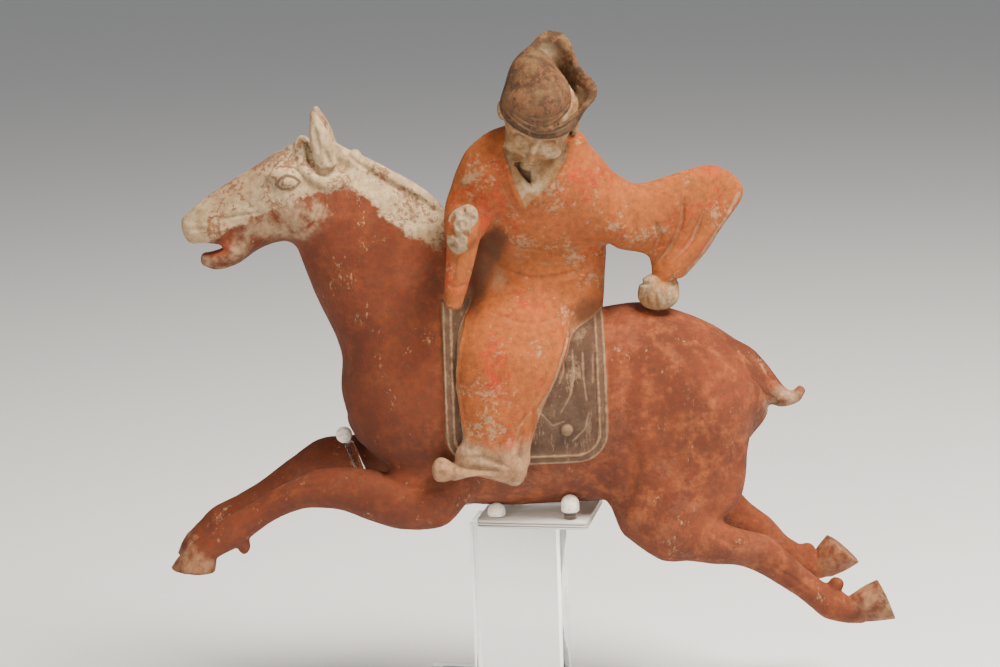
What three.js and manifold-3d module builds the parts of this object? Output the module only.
// Fired pottery polo player on a galloping horse, resting on the pegs of a clear acrylic stand.
// Millimetres, Z up. The horse faces -X and its near side faces -Y.
// The origin is on the floor, under the middle of the stand's foot.
import * as THREE from "three";
import { mergeVertices } from "three/addons/utils/BufferGeometryUtils.js";
import Module from "manifold-3d";

const wasm = await Module();
wasm.setup();

// Driving sizes
const figureLength = 361; // near fore hoof to near hind hoof
const footWidth = 120;
const footDepth = 104;
const footThickness = 10;
const postWidth = 46;
const postDepth = 24;
const postHeight = 99;
const postSetBack = -4; // middle of the post along Y
const plateWidth = 56;
const plateDepth = 50;
const plateThickness = 4;
const plateShift = 11.5; // middle of the plate along X
const plateSetBack = -1.5;
const standTurn = -12; // degrees, the stand's right end is turned towards the near side
const pegDiameter = 9;
const pegInset = 1.5; // from the peg's side to the plate's edge
const pegSpacing = 37.5;
const bellyGap = 3; // plate to the lowest point of the belly
const prongDiameter = 5;
const prongTipDiameter = 9;
const joint = 0.3; // gap between pieces that touch

const plateTop = footThickness + joint + postHeight + joint + plateThickness;
const turn = THREE.MathUtils.degToRad(standTurn);
const unit = figureLength / 361;

// The figure's tables are in millimetres of a figure 361 mm long, with heights above a level that is
// 117 mm under its belly. A station is [x, y, z, half height, half width] of one section of a limb.
const bellyLevel = 117;

const trunk = [
  [-79, 0, 158, 9, 12],
  [-74, 0, 161, 26, 24],
  [-62, 0, 166, 39, 33],
  [-42, 0, 168, 47, 37],
  [-12, 0, 166.5, 49.5, 38],
  [20, 0, 165.5, 48.5, 38],
  [46, 0, 166.5, 49, 38],
  [68, 0, 169, 48, 38],
  [90, 0, 167, 40, 35],
  [105, 0, 161.5, 32, 29],
  [113.5, 0, 156.5, 24, 20],
  [118, 0, 152, 13, 11],
];
const neck = [
  [-34, 0, 170, 43, 33],
  [-42, 0, 192, 41, 31],
  [-50.5, 0, 219, 39.5, 26],
  [-65.5, 0, 245.5, 36.5, 20],
  [-79.5, 0, 263.5, 30, 15.5],
  [-90, 0, 275, 23, 13],
  [-97, 0, 281, 16, 10],
];
const head = [
  [-86, 0, 281, 16, 12],
  [-95, 0, 279, 21.5, 15],
  [-106, 0, 277.5, 23, 16],
  [-117, 0, 274.5, 20, 14],
  [-128, 0, 271.5, 17, 11.5],
  [-139, 0, 268, 14.5, 10.5],
  [-149, 0, 265, 11.5, 10.5],
  [-156.5, 0, 262.5, 8, 8.5],
];
const lowerJaw = [
  [-116, 0, 265, 9, 9],
  [-128, 0, 258, 7.5, 9],
  [-138, 0, 250.5, 7, 8.5],
  [-146, 0, 247, 5, 8],
  [-151, 0, 247.5, 3.5, 6],
];
const mane = [
  [-86, 0, 299, 5, 4.5],
  [-79, 0, 294.5, 5.5, 4.5],
  [-60, 0, 284, 5.5, 4.5],
  [-41, 0, 271.5, 5.5, 4.5],
  [-20, 0, 244, 5, 4.5],
];
const ear = [
  [-88.5, -9, 294, 6.2, 5],
  [-89.8, -10, 303, 5.8, 4.8],
  [-91.3, -10.5, 311, 4.2, 3.6],
  [-93, -10, 318.5, 1.7, 1.7],
];
const hairLobe = [
  [-103, -9, 297, 4, 4],
  [-103.5, -14, 290, 4, 4],
  [-98.5, -16, 283.5, 4.2, 4],
  [-90, -15.5, 281.5, 4.6, 4],
  [-81, -14, 283.5, 4.4, 4],
  [-74, -13, 286, 3, 3],
];
const nearForearm = [
  [-30, -22, 136, 12, 11],
  [-42, -25, 128.5, 16, 13],
  [-56, -26, 127.5, 15, 12.5],
  [-70, -26, 130, 13, 11.5],
  [-84, -25, 133.5, 11, 10.5],
  [-98, -24, 134, 9.5, 9.5],
  [-110, -23, 131, 7.5, 8],
  [-122, -22, 125.5, 6.8, 7],
  [-134, -22, 118.5, 6.8, 7],
  [-144, -22, 112, 7.6, 7.6],
  [-153, -22, 106.5, 6.8, 7],
  [-158, -22, 103, 7, 7.5],
];
const farForearm = [
  [-34, 22, 136, 13, 11],
  [-54, 25, 133, 15, 12.5],
  [-70, 25, 134, 14, 11.5],
  [-86, 24.5, 136, 12.5, 10.5],
  [-99, 24, 136, 11, 9.5],
  [-112, 23.5, 130, 8.5, 8],
  [-126, 23, 121.5, 7.2, 7],
  [-140, 22.5, 113.5, 7, 7],
  [-152.5, 22, 107, 7.6, 7.6],
  [-160.5, 22, 101, 6.8, 7],
  [-164, 22, 97, 7, 7.5],
];
// A thigh is drawn downwards, so its half height lies along X here
const thigh = [
  [84, -14, 180, 28, 20],
  [82, -18, 154, 33.5, 20],
  [77, -22, 127, 34, 17],
  [73, -24, 109, 22, 15],
  [77, -24, 98.5, 9, 9],
];
const nearShank = [
  [62, -24, 118, 15, 13],
  [76, -25, 110, 18, 15],
  [89, -26, 103.5, 13.5, 13],
  [100, -26, 99, 10.5, 10.5],
  [110, -25.5, 96.5, 9, 9],
  [120, -25, 93, 9.3, 8.5],
  [130, -25, 85.5, 8, 7.5],
  [141, -25, 76.5, 6.8, 7],
  [149, -25, 70, 7.2, 7],
  [156, -25, 65.2, 8, 7.8],
  [164, -25, 61.8, 6.6, 7],
  [170, -25, 62, 7, 7.5],
];
const farShank = [
  [72, 23, 124, 16, 14],
  [88, 24, 117, 15, 13],
  [102, 24.5, 108.5, 12, 10.5],
  [114, 24.5, 98.5, 9.2, 8.8],
  [126, 24.5, 89, 8.6, 8],
  [135, 24, 81, 7, 7],
  [143, 24, 75.5, 6.8, 7],
  [149.5, 24, 71.5, 7.6, 7.6],
  [155, 24, 69.5, 6.6, 7],
  [159, 24, 71, 7, 7.5],
];
const tail = [
  [106, 0, 189, 7, 7],
  [116, 0, 187, 6.5, 6.5],
  [122.5, 0, 179.5, 6.6, 6],
  [128.5, 0, 171.5, 6.4, 5.5],
  [135.5, 0, 166.5, 4.8, 4.5],
  [141.5, 0, 167, 3.2, 3.2],
  [144.5, 0, 170.5, 2.4, 2.4],
];

// The rider. Upright pieces are drawn upwards or downwards, with the half height along Y.
const torso = [
  [10, -1, 204, 24, 33],
  [13, -2, 222, 22, 33],
  [16, -5, 240, 20, 31.5],
  [16, -11, 257, 20, 32],
  [14, -18, 274, 19, 33.5],
  [13.5, -24, 290, 17.5, 33],
  [14, -28, 304, 13, 25],
];
const robeLeg = [
  [4, -14, 220, 14, 24],
  [1, -26, 208, 14.5, 27],
  [-3, -35, 196, 13, 25],
  [-7, -39, 177, 10, 20],
  [-9, -40.5, 160, 8.5, 16.5],
  [-9, -41, 148, 7, 15.5],
];
const boot = [
  [0, -42, 145, 4.5, 5.5],
  [-14, -43, 144, 4, 6],
  [-28, -43, 145, 4, 6],
  [-38, -42, 146, 5.2, 6],
];
const brokenArm = [
  [5, -25, 292, 15.5, 16.5],
  [-8, -27, 290.5, 15, 14.5],
  [-18, -28, 274, 11.5, 12],
  [-21, -36, 266, 10, 10.5],
  [-22, -45, 266, 9.5, 8.5],
  [-22, -53, 267, 9.5, 7.5],
];
const hangingCuff = [
  [-22, -46, 262, 6, 8],
  [-23.5, -48, 252, 5.5, 7],
  [-26, -48, 240, 5, 5.8],
  [-28, -47.5, 229, 4.5, 4.4],
];
const neckSkin = [
  [13, -21, 282, 14, 14],
  [14, -28, 292, 11, 12],
  [15, -32, 300, 10, 12],
];
// A sleeve section is [inner x, inner z, outer x, outer z, y, half thickness]
const wideSleeve = [
  [20, 264, 26, 296, -23, 14],
  [38, 256, 42, 295, -21, 14],
  [52, 249, 54, 285, -18, 12],
  [63, 246, 66, 280, -15, 10.5],
  [68, 243, 99.5, 287, -11, 8],
  [69.5, 239, 115.5, 274, -9, 6.5],
  [70, 235, 101, 252, -9.5, 8],
  [70.5, 231, 86, 233, -10, 8],
];

// Rounded lumps: [x, y, z, reach along X, reach along Y, reach along Z]
const lumps = {
  mouthCut: [-152, 0, 252.8, 9, 14, 2.2],
  nostril: [-152.5, 9.5, 267, 3.2, 2, 2],
  brow: [-108, 12, 288, 7, 4.5, 5],
  eye: [-108.5, 14.2, 285.4, 4, 3, 3],
  forelock: [-99, 0, 302, 9, 6, 5],
  cheek: [-98, 8, 270, 11, 8.5, 13.5],
  nearForeSpur: [-137.5, -22, 105.5, 3, 2.6, 4.5],
  nearHindSpur: [158, -25, 75.5, 4, 4, 3.6],
  farHindSpur: [150, 24, 78.5, 4, 4, 3.6],
  saddleArch: [-20, 0, 228, 12, 15, 18],
  clothKnob: [25, 39.6, 163.5, 3, 3, 3],
  hand: [73, -10, 223.6, 9.5, 8, 8],
};

// Hooves, as [x, y, z, reach along the toe, half width] of the crown and of the sole
const hooves = {
  nearFore: { crown: [-159, -22, 104.5, 7.5, 7.5], sole: [-163.5, -22, 94, 11, 9.5], toe: [-1, 0, 0.12] },
  farFore: { crown: [-164.5, 22, 98, 7.5, 7.5], sole: [-167, 22, 88.5, 10, 9.5], toe: [-1, 0, 0.12] },
  nearHind: {
    crown: [168.5, -25, 62.5, 7.5, 7.5],
    sole: [182.8, -25, 66.8, 10.8, 9.5],
    toe: [0.38, 0, -0.92],
  },
  farHind: { crown: [158, 24, 69.5, 7.5, 7.5], sole: [168.5, 24, 78.5, 11, 9.5], toe: [0.75, 0, -0.66] },
};

// The saddle cloth follows the trunk's sections. Its border stands a little prouder than its field.
const cloth = {
  front: -34,
  rear: 45,
  reach: 114, // degrees down each side from the top
  corner: 15,
  field: 1.6,
  border: 3,
  borderWidth: 3.6,
  borderSlope: 0.8,
  inside: -5,
};

// The hat leans forwards and to one side. Its round crown sits inside a turned-up brim, which is
// widest and highest at its back and stands out again at its right.
const hat = {
  place: [18, -44, 325.5],
  forward: 44, // degrees
  side: 13, // degrees
  wall: 2.6,
  baseRadius: 19.5,
  baseDrop: 5,
  hollowRise: 2.4, // inside of the bowl above its base
  hollowOver: 1.4, // the hollow's cutter past the rim
  rimRadius: 17.5,
  rimRise: 1,
  backReach: 12.5,
  backRise: 16,
  rightReach: 8,
  rightRise: 6,
  rightTurn: 14, // degrees
};

// The rider's head, as [to its right, to its back, up from the hat's middle, three reaches]
const headLumps = {
  crown: [-1.5, 1, 2, 14, 14, 13.5],
  skull: [0, 1, -8, 18, 18, 18],
  jaw: [0, -6, -17, 13.5, 13, 13.5],
  nose: [0, -17.5, -15, 2.3, 3, 4],
  rightEar: [17.5, 1, -14, 2.6, 3, 5],
  leftEar: [-17.5, 1, -14, 2.6, 3, 5],
};

// The prong's way up to its tip: the tip's place in the figure's tables, then the rod's low end and
// its bend, measured back from the tip
const prong = {
  tipLevel: 154,
  across: 4,
  lowReach: 21,
  bendReach: 9,
  bendShare: 0.42,
  lean: [-0.42, 0, 0.9],
};

const crosswise = new THREE.Vector3(1, 0, 0);

// Sections of a limb, square to its path. A half height lies along up, which turns with the path.
function limbSections(stations, sideways = new THREE.Vector3(0, 1, 0)) {
  const places = stations.map((s) => new THREE.Vector3(s[0], s[1], s[2]));
  const last = places.length - 1;
  return stations.map((s, i) => {
    const before = places[Math.max(0, i - 1)];
    const after = places[Math.min(last, i + 1)];
    const along = after.clone().sub(before).normalize();
    const side = sideways.clone().addScaledVector(along, -sideways.dot(along)).normalize();
    const up = new THREE.Vector3().crossVectors(side, along);
    return { at: places[i], up: up.multiplyScalar(s[3]), side: side.multiplyScalar(s[4]) };
  });
}

function sleeveSections(stations) {
  return stations.map(([innerX, innerZ, outerX, outerZ, y, thick]) => {
    const inner = new THREE.Vector3(innerX, y, innerZ);
    const outer = new THREE.Vector3(outerX, y, outerZ);
    return {
      at: inner.clone().add(outer).multiplyScalar(0.5),
      up: outer.clone().sub(inner).multiplyScalar(0.5),
      side: new THREE.Vector3(0, thick, 0),
    };
  });
}

function mirrored([x, y, ...rest]) {
  return [x, -y, ...rest];
}

function pairOf(stations) {
  return [stations, stations.map(mirrored)];
}

// A smooth run of sections between the given ones
function refine(sections, steps) {
  const curve = (key) => new THREE.CatmullRomCurve3(sections.map((s) => s[key]), false, "catmullrom", 0.5);
  const curves = { at: curve("at"), up: curve("up"), side: curve("side") };
  const count = (sections.length - 1) * steps;
  return Array.from({ length: count + 1 }, (_, i) => ({
    at: curves.at.getPoint(i / count),
    up: curves.up.getPoint(i / count),
    side: curves.side.getPoint(i / count),
  }));
}

// Two shrinking sections past an end, the last one near a point
function roundEnd(near, next, roundness) {
  const out = near.at.clone().sub(next.at).normalize();
  const reach = roundness * Math.min(near.up.length(), near.side.length());
  return [42, 80].map((degrees) => {
    const angle = THREE.MathUtils.degToRad(degrees);
    return {
      at: near.at.clone().addScaledVector(out, reach * Math.sin(angle)),
      up: near.up.clone().multiplyScalar(Math.cos(angle)),
      side: near.side.clone().multiplyScalar(Math.cos(angle)),
    };
  });
}

function withEnds(sections, startRound, endRound) {
  const last = sections.length - 1;
  const startRings = roundEnd(sections[0], sections[1], startRound).reverse();
  return [...startRings, ...sections, ...roundEnd(sections[last], sections[last - 1], endRound)];
}

// Points of one ring. narrow makes the side that up points to narrower than the other.
function ringPoints(ring, sides, narrow) {
  return Array.from({ length: sides }, (_, k) => {
    const angle = (2 * Math.PI * k) / sides;
    const width = 1 - narrow * Math.sin(angle);
    const p = ring.at.clone().addScaledVector(ring.up, Math.sin(angle));
    return p.addScaledVector(ring.side, width * Math.cos(angle));
  });
}

function middleOf(points) {
  const middle = points.reduce((sum, p) => sum.add(p), new THREE.Vector3());
  return middle.multiplyScalar(1 / points.length);
}

// A closed solid over rings that all have the same count of points
function solidOverRings(rings) {
  const sides = rings[0].length;
  const lastRing = (rings.length - 1) * sides;
  const points = [...rings.flat(), middleOf(rings[0]), middleOf(rings[rings.length - 1])];
  const faces = [];
  for (let k = 0; k < sides; k += 1) {
    const next = (k + 1) % sides;
    for (let from = 0; from < lastRing; from += sides) {
      const a = from + k;
      const b = from + next;
      faces.push([a, b, b + sides], [a, b + sides, a + sides]);
    }
    faces.push([points.length - 2, next, k]);
    faces.push([points.length - 1, lastRing + k, lastRing + next]);
  }
  return solidOf(points, faces);
}

function skin(sections, { sides = 10, start = 0.6, end = 0.6, narrow = 0 } = {}) {
  return solidOverRings(withEnds(sections, start, end).map((ring) => ringPoints(ring, sides, narrow)));
}

function limb(stations, options = {}) {
  return skin(limbSections(stations, options.sideways), options);
}

function solidOf(points, faces) {
  let volume = 0;
  for (const [a, b, c] of faces) {
    volume += points[a].dot(new THREE.Vector3().crossVectors(points[b], points[c]));
  }
  const ordered = volume < 0 ? faces.map(([a, b, c]) => [a, c, b]) : faces;
  return new wasm.Manifold(
    new wasm.Mesh({
      numProp: 3,
      vertProperties: new Float32Array(points.flatMap((p) => [p.x, p.y, p.z])),
      triVerts: new Uint32Array(ordered.flat()),
    }),
  );
}

function solidOfGeometry(source) {
  const bare = source.clone();
  bare.deleteAttribute("normal");
  bare.deleteAttribute("uv");
  const merged = mergeVertices(bare, 1e-4);
  return new wasm.Manifold(
    new wasm.Mesh({
      numProp: 3,
      vertProperties: new Float32Array(merged.attributes.position.array),
      triVerts: new Uint32Array(merged.index.array),
    }),
  );
}

function geometryOf(solid) {
  const mesh = solid.getMesh();
  const geometry = new THREE.BufferGeometry();
  geometry.setAttribute("position", new THREE.BufferAttribute(mesh.vertProperties.slice(), 3));
  geometry.setIndex(new THREE.BufferAttribute(mesh.triVerts.slice(), 1));
  geometry.computeVertexNormals();
  return geometry;
}

function lump([x, y, z, reachX, reachY, reachZ], detail = 8) {
  const ball = new THREE.SphereGeometry(1, detail, Math.round(detail * 0.7));
  ball.scale(reachX, reachY, reachZ);
  ball.translate(x, y, z);
  return solidOfGeometry(ball);
}

function joinAll(solids) {
  return solids.reduce((sum, next) => sum.add(next));
}

// A hoof is a short cone that flares from its crown to its flat sole
function hoof({ crown, sole, toe }) {
  const toeWay = new THREE.Vector3(...toe).normalize();
  const sections = [crown, sole].map(([x, y, z, reach, width]) => ({
    at: new THREE.Vector3(x, y, z),
    up: toeWay.clone().multiplyScalar(reach),
    side: new THREE.Vector3(0, width, 0),
  }));
  const middle = {
    at: sections[0].at.clone().lerp(sections[1].at, 0.45),
    up: sections[0].up.clone().lerp(sections[1].up, 0.6),
    side: sections[0].side.clone().lerp(sections[1].side, 0.6),
  };
  return skin([sections[0], middle, sections[1]], { start: 0.5, end: 0.08 });
}

function horseHead() {
  const raised = [...pairOf([lumps.brow, lumps.eye, lumps.cheek])].flat();
  const sunk = [lumps.mouthCut, lumps.nostril, mirrored(lumps.nostril)];
  const solids = [
    limb(head, { sides: 12, narrow: 0.1 }),
    limb(lowerJaw, { sides: 8 }),
    lump(lumps.forelock),
    ...raised.map((row) => lump(row)),
    ...pairOf(hairLobe).map((s) => limb(s, { sides: 6 })),
    ...pairOf(ear).map((s) => limb(s, { sides: 8, end: 1.2 })),
  ];
  return joinAll(solids).subtract(joinAll(sunk.map((row) => lump(row, 6))));
}

function horseBody() {
  return joinAll([
    limb(trunk, { sides: 20, start: 0.25, end: 0.25 }),
    limb(neck, { sides: 16, narrow: 0.25 }),
    limb(mane, { sides: 8 }),
    horseHead(),
    ...[nearForearm, farForearm, nearShank, farShank].map((s) => limb(s)),
    ...pairOf(thigh).map((s) => limb(s, { sides: 12 })),
    ...Object.values(hooves).map(hoof),
    ...[lumps.nearForeSpur, lumps.nearHindSpur, lumps.farHindSpur].map((row) => lump(row, 6)),
    limb(tail, { sides: 8 }),
  ]);
}

function trunkSectionAt(x) {
  const away = (s) => Math.abs(s.at.x - x);
  return refine(limbSections(trunk), 8).reduce((best, s) => (away(s) < away(best) ? s : best));
}

// Where the cloth's rows stand, from its front edge
function clothStops() {
  const middleCount = 4;
  const length = cloth.rear - cloth.front;
  const edge = cloth.borderWidth;
  const slope = edge + cloth.borderSlope;
  const stops = [0, edge, slope];
  for (let i = 1; i <= middleCount; i += 1) {
    stops.push(edge + ((length - 2 * edge) * i) / (middleCount + 1));
  }
  return [...stops, length - slope, length - edge, length];
}

// One row of the cloth, from its lower edge on one side over the back to the other
function clothRow(stop, aroundCount) {
  const x = cloth.front + stop;
  const section = trunkSectionAt(x);
  const fromRear = cloth.rear - x;
  const bite = Math.max(0, cloth.corner - fromRear);
  const lost = cloth.corner - Math.sqrt(Math.max(0, cloth.corner ** 2 - bite ** 2));
  const reach = THREE.MathUtils.degToRad(cloth.reach) - lost / section.up.length();
  const atEnd = Math.min(stop, fromRear) <= cloth.borderWidth;
  return Array.from({ length: aroundCount + 1 }, (_, k) => {
    const angle = ((k / aroundCount) * 2 - 1) * reach;
    const isBorder = atEnd || k <= 1 || k >= aroundCount - 1;
    const place = (lift) =>
      new THREE.Vector3(
        x,
        Math.sin(angle) * (section.side.length() + lift),
        section.at.z + Math.cos(angle) * (section.up.length() + lift),
      );
    return { outer: place(isBorder ? cloth.border : cloth.field), inner: place(cloth.inside) };
  });
}

function saddleCloth() {
  const aroundCount = 18;
  const rows = clothStops().map((stop) => clothRow(stop, aroundCount));
  const points = [...rows.flat().map((p) => p.outer), ...rows.flat().map((p) => p.inner)];
  const width = aroundCount + 1;
  const inner = rows.length * width;
  const faces = [];
  const quad = (a, b, c, d) => faces.push([a, b, c], [a, c, d]);
  for (let low = 0; low + width < inner; low += width) {
    for (let a = low; a < low + aroundCount; a += 1) {
      quad(a, a + 1, a + width + 1, a + width);
      quad(inner + a, inner + a + width, inner + a + width + 1, inner + a + 1);
    }
    const high = low + aroundCount;
    quad(low, low + width, inner + low + width, inner + low);
    quad(high + width, high, inner + high, inner + high + width);
  }
  for (let k = 0; k < aroundCount; k += 1) {
    const far = inner - width + k;
    quad(k + 1, k, inner + k, inner + k + 1);
    quad(far, far + 1, inner + far + 1, inner + far);
  }
  return solidOf(points, faces);
}

function hatAxes() {
  const forward = THREE.MathUtils.degToRad(hat.forward);
  const side = THREE.MathUtils.degToRad(hat.side);
  const up = new THREE.Vector3(0, -Math.sin(forward), Math.cos(forward));
  up.applyAxisAngle(new THREE.Vector3(0, 1, 0), side);
  const right = new THREE.Vector3(Math.cos(side), 0, -Math.sin(side));
  return { up, right, back: new THREE.Vector3().crossVectors(up, right) };
}

function fromHat(axes, right, back, up) {
  return new THREE.Vector3(...hat.place)
    .addScaledVector(axes.right, right)
    .addScaledVector(axes.back, back)
    .addScaledVector(axes.up, up);
}

// How far out and how far up the brim's rim stands, by angle from the right side
function brimRim(angle) {
  const back = Math.max(0, Math.sin(angle));
  const right = Math.max(0, Math.cos(angle - THREE.MathUtils.degToRad(hat.rightTurn)));
  return {
    out: hat.rimRadius + hat.backReach * back ** 7 + hat.rightReach * right ** 9,
    rise: hat.rimRise + hat.backRise * back ** 2 + hat.rightRise * right ** 4,
  };
}

// The bowl's skin from its base up to its rim, set in by inset, with its base and rim raised
function bowlSolid(inset, baseLift, rimLift) {
  const axes = hatAxes();
  const count = 20;
  const base = baseLift - hat.baseDrop;
  const ring = (level) =>
    Array.from({ length: count }, (_, k) => {
      const angle = (2 * Math.PI * k) / count;
      const rim = brimRim(angle);
      const out = hat.baseRadius + (rim.out - hat.baseRadius) * level ** 1.5 - inset;
      const up = base + (rim.rise + rimLift - base) * level;
      return fromHat(axes, out * Math.cos(angle), out * Math.sin(angle), up);
    });
  return solidOverRings([0, 0.35, 0.7, 1].map(ring));
}

function riderHead() {
  const axes = hatAxes();
  const bowl = bowlSolid(0, 0, 0).subtract(bowlSolid(hat.wall, hat.hollowRise, hat.hollowOver));
  const headLump = ([right, back, up, ...reaches]) =>
    lump([...fromHat(axes, right, back, up).toArray(), ...reaches], 10);
  return joinAll([bowl, ...Object.values(headLumps).map(headLump)]);
}

function rider() {
  return joinAll([
    limb(torso, { sides: 14, sideways: crosswise }),
    lump(lumps.saddleArch),
    ...pairOf(robeLeg).map((s) => limb(s, { sides: 12, sideways: crosswise })),
    ...pairOf(boot).map((s) => limb(s, { sides: 8 })),
    limb(brokenArm, { sides: 12, sideways: crosswise, end: 0.5 }),
    limb(hangingCuff, { sides: 8, sideways: crosswise, end: 0.4 }),
    limb(neckSkin, { sides: 12, sideways: crosswise }),
    skin(sleeveSections(wideSleeve), { sides: 12, end: 0.3 }),
    lump(lumps.hand),
    riderHead(),
  ]);
}

function figureSolid() {
  const knobs = pairOf([lumps.clothKnob]).flat();
  return joinAll([horseBody(), saddleCloth(), rider(), ...knobs.map((row) => lump(row, 6))])
    .translate([0, 0, -bellyLevel])
    .scale([unit, unit, unit])
    .translate([0, 0, plateTop + bellyGap]);
}

// Nearest surface of a geometry that a ray meets, as its distance from the ray's start
function distanceTo(geometry, from, way) {
  const ray = new THREE.Ray(from, way);
  const position = geometry.attributes.position;
  const index = geometry.index;
  const corners = [new THREE.Vector3(), new THREE.Vector3(), new THREE.Vector3()];
  const hit = new THREE.Vector3();
  let nearest = Infinity;
  for (let i = 0; i < index.count; i += 3) {
    corners.forEach((corner, n) => corner.fromBufferAttribute(position, index.getX(i + n)));
    if (ray.intersectTriangle(...corners, false, hit)) nearest = Math.min(nearest, hit.distanceTo(from));
  }
  return nearest;
}

// How high a peg with a domed top can stand before it meets the belly
function pegHeight(geometry, x, y) {
  const radius = pegDiameter / 2;
  const turns = 12;
  const up = new THREE.Vector3(0, 0, 1);
  let height = Infinity;
  for (const share of [0, 0.35, 0.7, 0.98]) {
    const dome = radius * (1 - Math.sqrt(1 - share ** 2));
    for (let k = 0; k < turns; k += 1) {
      const angle = (2 * Math.PI * k) / turns;
      const aside = new THREE.Vector3(Math.cos(angle), Math.sin(angle), 0).multiplyScalar(radius * share);
      const from = new THREE.Vector3(x, y, 0).add(aside);
      height = Math.min(height, distanceTo(geometry, from, up) + dome);
    }
  }
  return height - joint - (plateTop + joint);
}

function pegGeometry(height) {
  const radius = pegDiameter / 2;
  const domeSteps = 4;
  const profile = [new THREE.Vector2(0, 0), new THREE.Vector2(radius, 0)];
  for (let k = 0; k <= domeSteps; k += 1) {
    const angle = (Math.PI / 2) * (k / domeSteps);
    const out = k === domeSteps ? 0 : radius * Math.cos(angle);
    profile.push(new THREE.Vector2(out, height - radius + radius * Math.sin(angle)));
  }
  const geometry = new THREE.LatheGeometry(profile, 12);
  geometry.rotateX(Math.PI / 2);
  return geometry;
}

// The place of a point given in the stand's own turned directions, from the plate's middle
function onPlate(along, across) {
  return {
    x: plateShift + along * Math.cos(turn) - across * Math.sin(turn),
    y: plateSetBack + along * Math.sin(turn) + across * Math.cos(turn),
  };
}

function clearAcrylic() {
  return new THREE.MeshStandardMaterial({ color: "#dfe6ea", roughness: 0.05, metalness: 0 });
}

function whiteSleeving() {
  return new THREE.MeshStandardMaterial({ color: "#f1eee9", roughness: 0.45, metalness: 0 });
}

function firedClay() {
  return new THREE.MeshStandardMaterial({ color: "#a4552f", roughness: 0.9, metalness: 0 });
}

function named(name, geometry, material) {
  const mesh = new THREE.Mesh(geometry, material);
  mesh.name = name;
  return mesh;
}

function slab(name, [width, depth, height], x, y, bottom) {
  const mesh = named(name, new THREE.BoxGeometry(width, depth, height), clearAcrylic());
  mesh.position.set(x, y, bottom + height / 2);
  mesh.rotation.z = turn;
  return mesh;
}

// The prong's clear rod leaves the plate's front edge, passes under the chest and rises before it
function prongRod(start, tip) {
  const out = new THREE.Vector3(-Math.cos(turn), -Math.sin(turn), 0);
  const straight = start.clone().addScaledVector(out, prongDiameter);
  const low = new THREE.Vector3(tip.x + prong.lowReach * unit, tip.y, start.z + prongDiameter / 2);
  const bendZ = start.z + prong.bendShare * (tip.z - start.z);
  const bend = new THREE.Vector3(tip.x + prong.bendReach * unit, tip.y, bendZ);
  const path = new THREE.CatmullRomCurve3([start, straight, low, bend, tip], false, "centripetal");
  const round = new THREE.Shape();
  round.absarc(0, 0, prongDiameter / 2, 0, 2 * Math.PI, false);
  const options = { steps: 12, extrudePath: path, bevelEnabled: false, curveSegments: 5 };
  return new THREE.ExtrudeGeometry(round, options);
}

// Furthest forward the chest comes within the padded tip's height
function chestFront(geometry, y, z) {
  const tipRadius = prongTipDiameter / 2;
  const startX = -figureLength;
  const way = new THREE.Vector3(1, 0, 0);
  let front = Infinity;
  for (const rise of [-1, -0.5, 0, 0.5, 1]) {
    for (const shift of [-1, 0, 1]) {
      const from = new THREE.Vector3(startX, y + shift * tipRadius, z + rise * tipRadius);
      front = Math.min(front, startX + distanceTo(geometry, from, way));
    }
  }
  return front;
}

function prongPieces(figureGeometry) {
  const corner = onPlate(-plateWidth / 2 - joint, plateDepth / 2 - prongDiameter);
  const start = new THREE.Vector3(corner.x, corner.y, plateTop - plateThickness + prongDiameter / 2);
  const tipRadius = prongTipDiameter / 2;
  const tipY = prong.across * unit;
  const tipZ = plateTop + bellyGap + (prong.tipLevel - bellyLevel) * unit;
  const tipX = chestFront(figureGeometry, tipY, tipZ) - tipRadius - joint;
  const ball = new THREE.Vector3(tipX, tipY, tipZ);
  const lean = new THREE.Vector3(...prong.lean).normalize();
  const rodEnd = ball.clone().addScaledVector(lean, -tipRadius - joint);
  const rod = named("chest_prong", prongRod(start, rodEnd), clearAcrylic());
  const pad = named("chest_prong_tip", new THREE.SphereGeometry(tipRadius, 10, 7), whiteSleeving());
  pad.position.copy(ball);
  return [rod, pad];
}

function pegPieces(figureGeometry) {
  const across = plateDepth / 2 - pegInset - pegDiameter / 2;
  const along = pegSpacing / 2;
  const places = {
    near_front_peg: [-along, -across],
    near_rear_peg: [along, -across],
    far_front_peg: [-along, across],
    far_rear_peg: [along, across],
  };
  return Object.entries(places).map(([name, place]) => {
    const { x, y } = onPlate(...place);
    const peg = named(name, pegGeometry(pegHeight(figureGeometry, x, y)), whiteSleeving());
    peg.position.set(x, y, plateTop + joint);
    return peg;
  });
}

function slabPieces() {
  const plateBottom = plateTop - plateThickness;
  return [
    slab("stand_foot", [footWidth, footDepth, footThickness], 0, 0, 0),
    slab("stand_post", [postWidth, postDepth, postHeight], 0, postSetBack, footThickness + joint),
    slab("cradle_plate", [plateWidth, plateDepth, plateThickness], plateShift, plateSetBack, plateBottom),
  ];
}

const figureGeometry = geometryOf(figureSolid());
const part = new THREE.Group();
part.add(named("horse_and_rider", figureGeometry, firedClay()));
part.add(...slabPieces(), ...pegPieces(figureGeometry), ...prongPieces(figureGeometry));

export default part;
